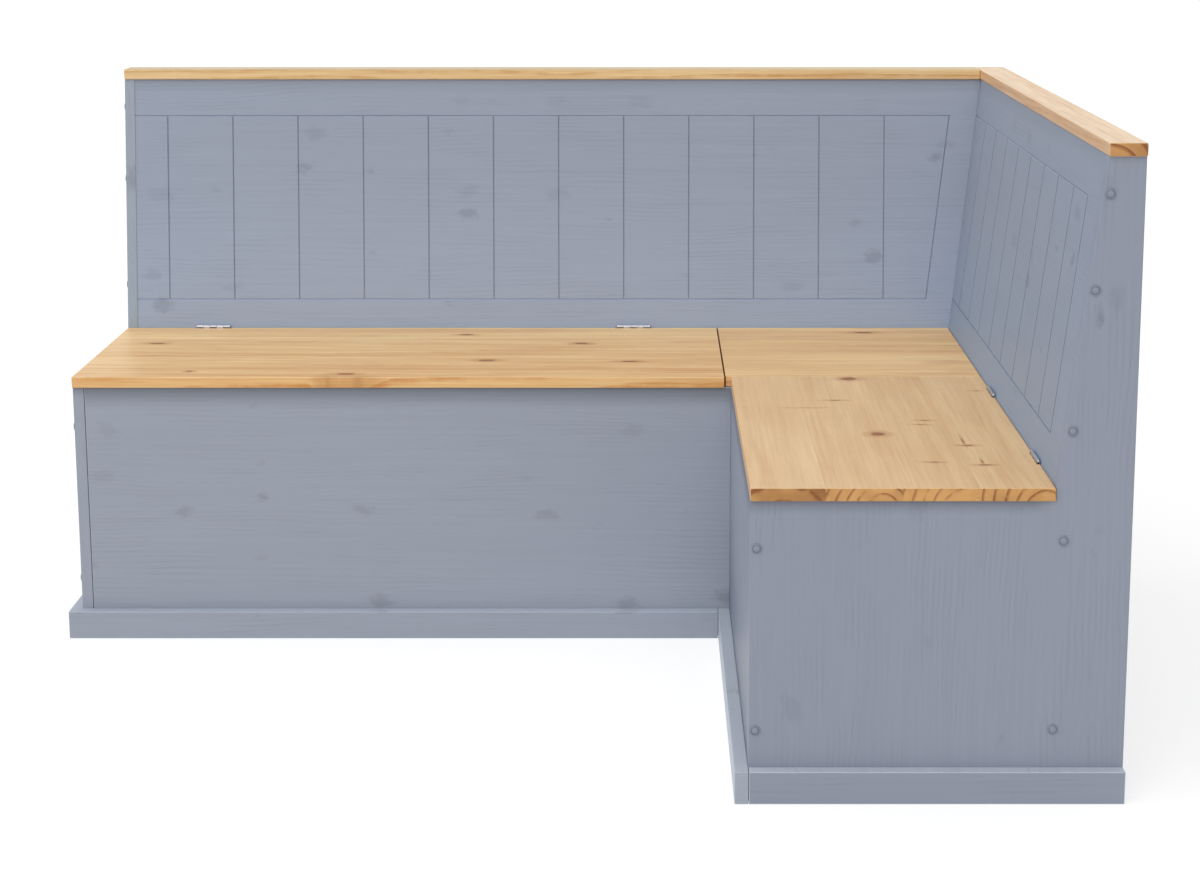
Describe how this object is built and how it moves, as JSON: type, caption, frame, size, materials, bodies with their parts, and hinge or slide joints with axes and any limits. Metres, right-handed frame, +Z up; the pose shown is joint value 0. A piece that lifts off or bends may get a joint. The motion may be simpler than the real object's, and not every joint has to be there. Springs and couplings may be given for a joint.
{
  "type": "corner storage bench",
  "caption": "Right-angled corner bench: two box seats with lift-up pine lids over storage, a fixed corner seat, leaning grooved backrests with pine cap rails and a plinth.",
  "frame": {"origin": "middle of the bench's rectangular floor outline, on the floor", "axes": "+Z up; +Y towards the wall behind the long left arm; +X towards the wall behind the short right arm. The two arms meet in the +X +Y corner, and the seats face -Y and -X."},
  "size_m": [1.605, 1.214, 0.902],
  "materials": {
    "painted_pine": "satin blue-grey paint over solid pine, with the grain and knots faintly showing",
    "lacquered_pine": "clear satin lacquer over edge-glued knotty pine",
    "bare_pine": "planed bare pine",
    "zinc_steel": "bright zinc-plated steel"
  },
  "bodies": {
    "bench": {"left_end_panel": "painted_pine", "left_front_panel": "painted_pine", "left_rear_panel": "painted_pine", "left_partition_panel": "painted_pine", "left_backrest_panel": "painted_pine", "left_cap_rail": "lacquered_pine", "left_front_plinth": "painted_pine", "left_end_plinth": "painted_pine", "left_floor_panel": "bare_pine", "left_rear_floor_cleat": "bare_pine", "left_front_floor_cleat": "bare_pine", "left_corner_cleat": "bare_pine", "right_end_panel": "painted_pine", "right_front_panel": "painted_pine", "right_rear_panel": "painted_pine", "right_partition_panel": "painted_pine", "right_backrest_panel": "painted_pine", "right_cap_rail": "lacquered_pine", "right_front_plinth": "painted_pine", "right_end_plinth": "painted_pine", "right_floor_panel": "bare_pine", "right_rear_floor_cleat": "bare_pine", "right_front_floor_cleat": "bare_pine", "right_corner_cleat": "bare_pine", "corner_seat_board": "lacquered_pine", "left_hinge_1_fixed_leaf": "zinc_steel", "left_hinge_1_pin": "zinc_steel", "left_hinge_2_fixed_leaf": "zinc_steel", "left_hinge_2_pin": "zinc_steel", "right_hinge_1_fixed_leaf": "zinc_steel", "right_hinge_1_pin": "zinc_steel", "right_hinge_2_fixed_leaf": "zinc_steel", "right_hinge_2_pin": "zinc_steel", "left_end_bolt_1": "painted_pine", "left_end_bolt_2": "painted_pine", "left_end_bolt_3": "painted_pine", "left_end_bolt_4": "painted_pine", "left_end_bolt_5": "painted_pine", "left_end_bolt_6": "painted_pine", "left_end_bolt_7": "painted_pine", "right_end_bolt_1": "painted_pine", "right_end_bolt_2": "painted_pine", "right_end_bolt_3": "painted_pine", "right_end_bolt_4": "painted_pine", "right_end_bolt_5": "painted_pine", "right_end_bolt_6": "painted_pine", "right_end_bolt_7": "painted_pine"},
    "left_lid": {"left_seat_lid": "lacquered_pine", "left_lid_batten_1": "bare_pine", "left_lid_batten_2": "bare_pine", "left_hinge_1_lid_leaf": "zinc_steel", "left_hinge_2_lid_leaf": "zinc_steel"},
    "right_lid": {"right_seat_lid": "lacquered_pine", "right_lid_batten_1": "bare_pine", "right_lid_batten_2": "bare_pine", "right_hinge_1_lid_leaf": "zinc_steel", "right_hinge_2_lid_leaf": "zinc_steel"}
  },
  "joints": [
    {"name": "left_lid_hinge", "type": "hinge", "parent": "bench", "child": "left_lid", "pos_m": [-0.25, 0.501, 0.4427], "axis": [-1, 0, 0], "range_deg": [0, 97]},
    {"name": "right_lid_hinge", "type": "hinge", "parent": "bench", "child": "right_lid", "pos_m": [0.6965, -0.24, 0.4427], "axis": [0, 1, 0], "range_deg": [0, 97]}
  ]
}
